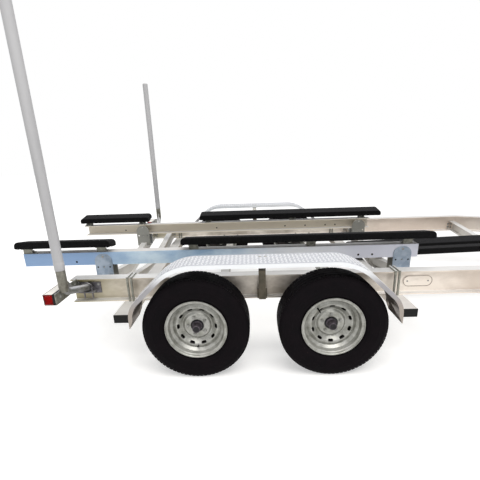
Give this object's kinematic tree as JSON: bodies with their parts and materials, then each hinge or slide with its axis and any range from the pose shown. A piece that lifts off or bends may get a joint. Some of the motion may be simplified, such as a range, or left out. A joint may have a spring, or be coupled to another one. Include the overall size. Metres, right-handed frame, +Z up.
{
  "type": "tandem axle boat trailer",
  "caption": "Tandem-axle boat trailer with aluminium I-beam rails, carpeted bunks on raised beams, tread-plate fenders, guide posts, winch stand, coupler and swing-up tongue jack.",
  "frame": {"origin": "on the ground, at the middle of the trailer in length and width", "axes": "+X forward along the tongue to the coupler, +Y to the trailer's left, +Z up"},
  "size_m": [7.577, 2.572, 2.314],
  "materials": {
    "black_hub": "satin",
    "black_plastic": "matt",
    "bright_aluminium": "satin",
    "bunk_carpet": "matt",
    "galvanised_rim": "satin",
    "galvanised_steel": "matt",
    "mill_aluminium": "satin",
    "red_lens": "gloss",
    "stop_rubber": "matt",
    "tread_plate": "bright",
    "tyre_rubber": "matt",
    "white_plastic": "satin",
    "zinc_steel": "satin"
  },
  "bodies": {
    "chassis": {"arm_caps": "black_plastic", "axle_front": "galvanised_steel", "axle_rear": "galvanised_steel", "bow_stop": "stop_rubber", "bunk_beams": "bright_aluminium", "bunk_brackets": "galvanised_steel", "bunk_uprights": "bright_aluminium", "coupler": "zinc_steel", "coupler_latch": "zinc_steel", "cross_clips": "mill_aluminium", "cross_members": "mill_aluminium", "fender_arms": "mill_aluminium", "fender_brackets": "mill_aluminium", "fender_left": "tread_plate", "fender_right": "tread_plate", "guide_posts": "white_plastic", "jack_mount": "zinc_steel", "keel_blocks": "mill_aluminium", "keel_bunks": "bunk_carpet", "lamp_bases": "black_plastic", "lamp_brackets": "galvanised_steel", "lamp_lenses": "red_lens", "main_rail_left": "mill_aluminium", "main_rail_right": "mill_aluminium", "post_arms": "galvanised_steel", "post_clamps": "galvanised_steel", "rail_u_bolts": "galvanised_steel", "rear_bunks": "bunk_carpet", "side_bunks": "bunk_carpet", "side_plates": "mill_aluminium", "tongue_beam": "mill_aluminium", "tongue_rails": "mill_aluminium", "winch_drum": "zinc_steel", "winch_frame": "zinc_steel", "winch_post": "galvanised_steel"},
    "wheel_front_left": {"tyre_front_left": "tyre_rubber", "rim_front_left": "galvanised_rim", "hub_front_left": "black_hub"},
    "wheel_front_right": {"tyre_front_right": "tyre_rubber", "rim_front_right": "galvanised_rim", "hub_front_right": "black_hub"},
    "wheel_rear_left": {"tyre_rear_left": "tyre_rubber", "rim_rear_left": "galvanised_rim", "hub_rear_left": "black_hub"},
    "wheel_rear_right": {"tyre_rear_right": "tyre_rubber", "rim_rear_right": "galvanised_rim", "hub_rear_right": "black_hub"},
    "jack": {"jack_tube": "zinc_steel"},
    "jack_leg": {"jack_leg": "zinc_steel"}
  },
  "joints": [
    {"name": "wheel_front_left_spin", "type": "hinge", "parent": "chassis", "child": "wheel_front_left", "pos_m": [-1.3345, 1.1645, 0.3595], "axis": [0, 1, 0], "continuous": true},
    {"name": "wheel_front_right_spin", "type": "hinge", "parent": "chassis", "child": "wheel_front_right", "pos_m": [-1.3345, -1.1645, 0.3595], "axis": [0, 1, 0], "continuous": true},
    {"name": "wheel_rear_left_spin", "type": "hinge", "parent": "chassis", "child": "wheel_rear_left", "pos_m": [-2.2395, 1.1645, 0.3595], "axis": [0, 1, 0], "continuous": true},
    {"name": "wheel_rear_right_spin", "type": "hinge", "parent": "chassis", "child": "wheel_rear_right", "pos_m": [-2.2395, -1.1645, 0.3595], "axis": [0, 1, 0], "continuous": true},
    {"name": "jack_swivel", "type": "hinge", "parent": "chassis", "child": "jack", "pos_m": [3.163, 0.154, 0.3995], "axis": [0, 1, 0], "range_deg": [0, 90]},
    {"name": "jack_screw", "type": "slide", "parent": "jack", "child": "jack_leg", "axis": [0, 0, -1], "range_m": [-0.24, 0.1]}
  ]
}
